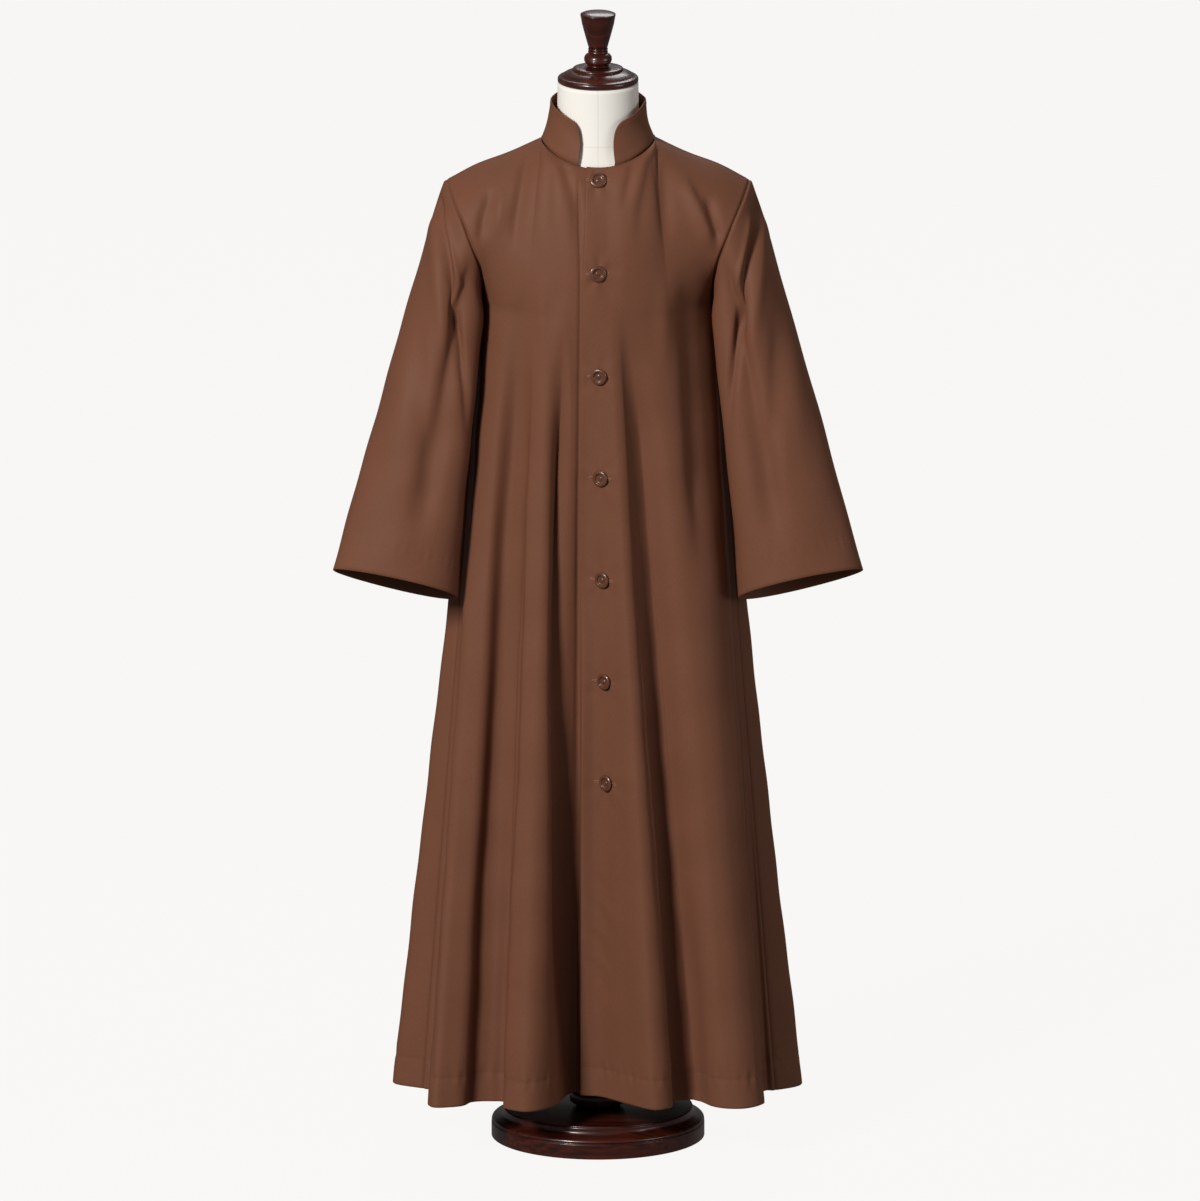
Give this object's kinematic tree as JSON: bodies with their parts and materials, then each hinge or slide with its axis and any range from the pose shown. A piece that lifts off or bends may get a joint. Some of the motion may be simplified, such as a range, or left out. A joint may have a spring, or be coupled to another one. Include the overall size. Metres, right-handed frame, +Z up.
{
  "type": "cassock on a dress form",
  "caption": "Long brown buttoned cassock with wide sleeves and an open stand collar, worn on a limbless cream dress form with a turned dark wooden cap, knob and round base.",
  "frame": {"origin": "centre of the round base's underside, on the floor", "axes": "+Z up along the stand, -Y to the front of the cassock, +X to the wearer's left"},
  "size_m": [0.794, 0.417, 1.7298],
  "materials": {
    "gabardine": "smooth brown polyester gabardine with a soft sheen",
    "button_plastic": "turned brown button, semi-gloss",
    "form_cover": "cream cotton stretched over padding",
    "mahogany": "dark stained and polished"
  },
  "bodies": {
    "root": {"front_left": "gabardine", "front_right": "gabardine", "back": "gabardine", "sleeve_left": "gabardine", "sleeve_right": "gabardine", "collar": "gabardine", "button_1": "button_plastic", "button_2": "button_plastic", "button_3": "button_plastic", "button_4": "button_plastic", "button_5": "button_plastic", "button_6": "button_plastic", "button_7": "button_plastic", "form_torso": "form_cover", "neck_cap": "mahogany", "finial": "mahogany", "stand_pole": "mahogany", "stand_base": "mahogany"}
  },
  "joints": []
}
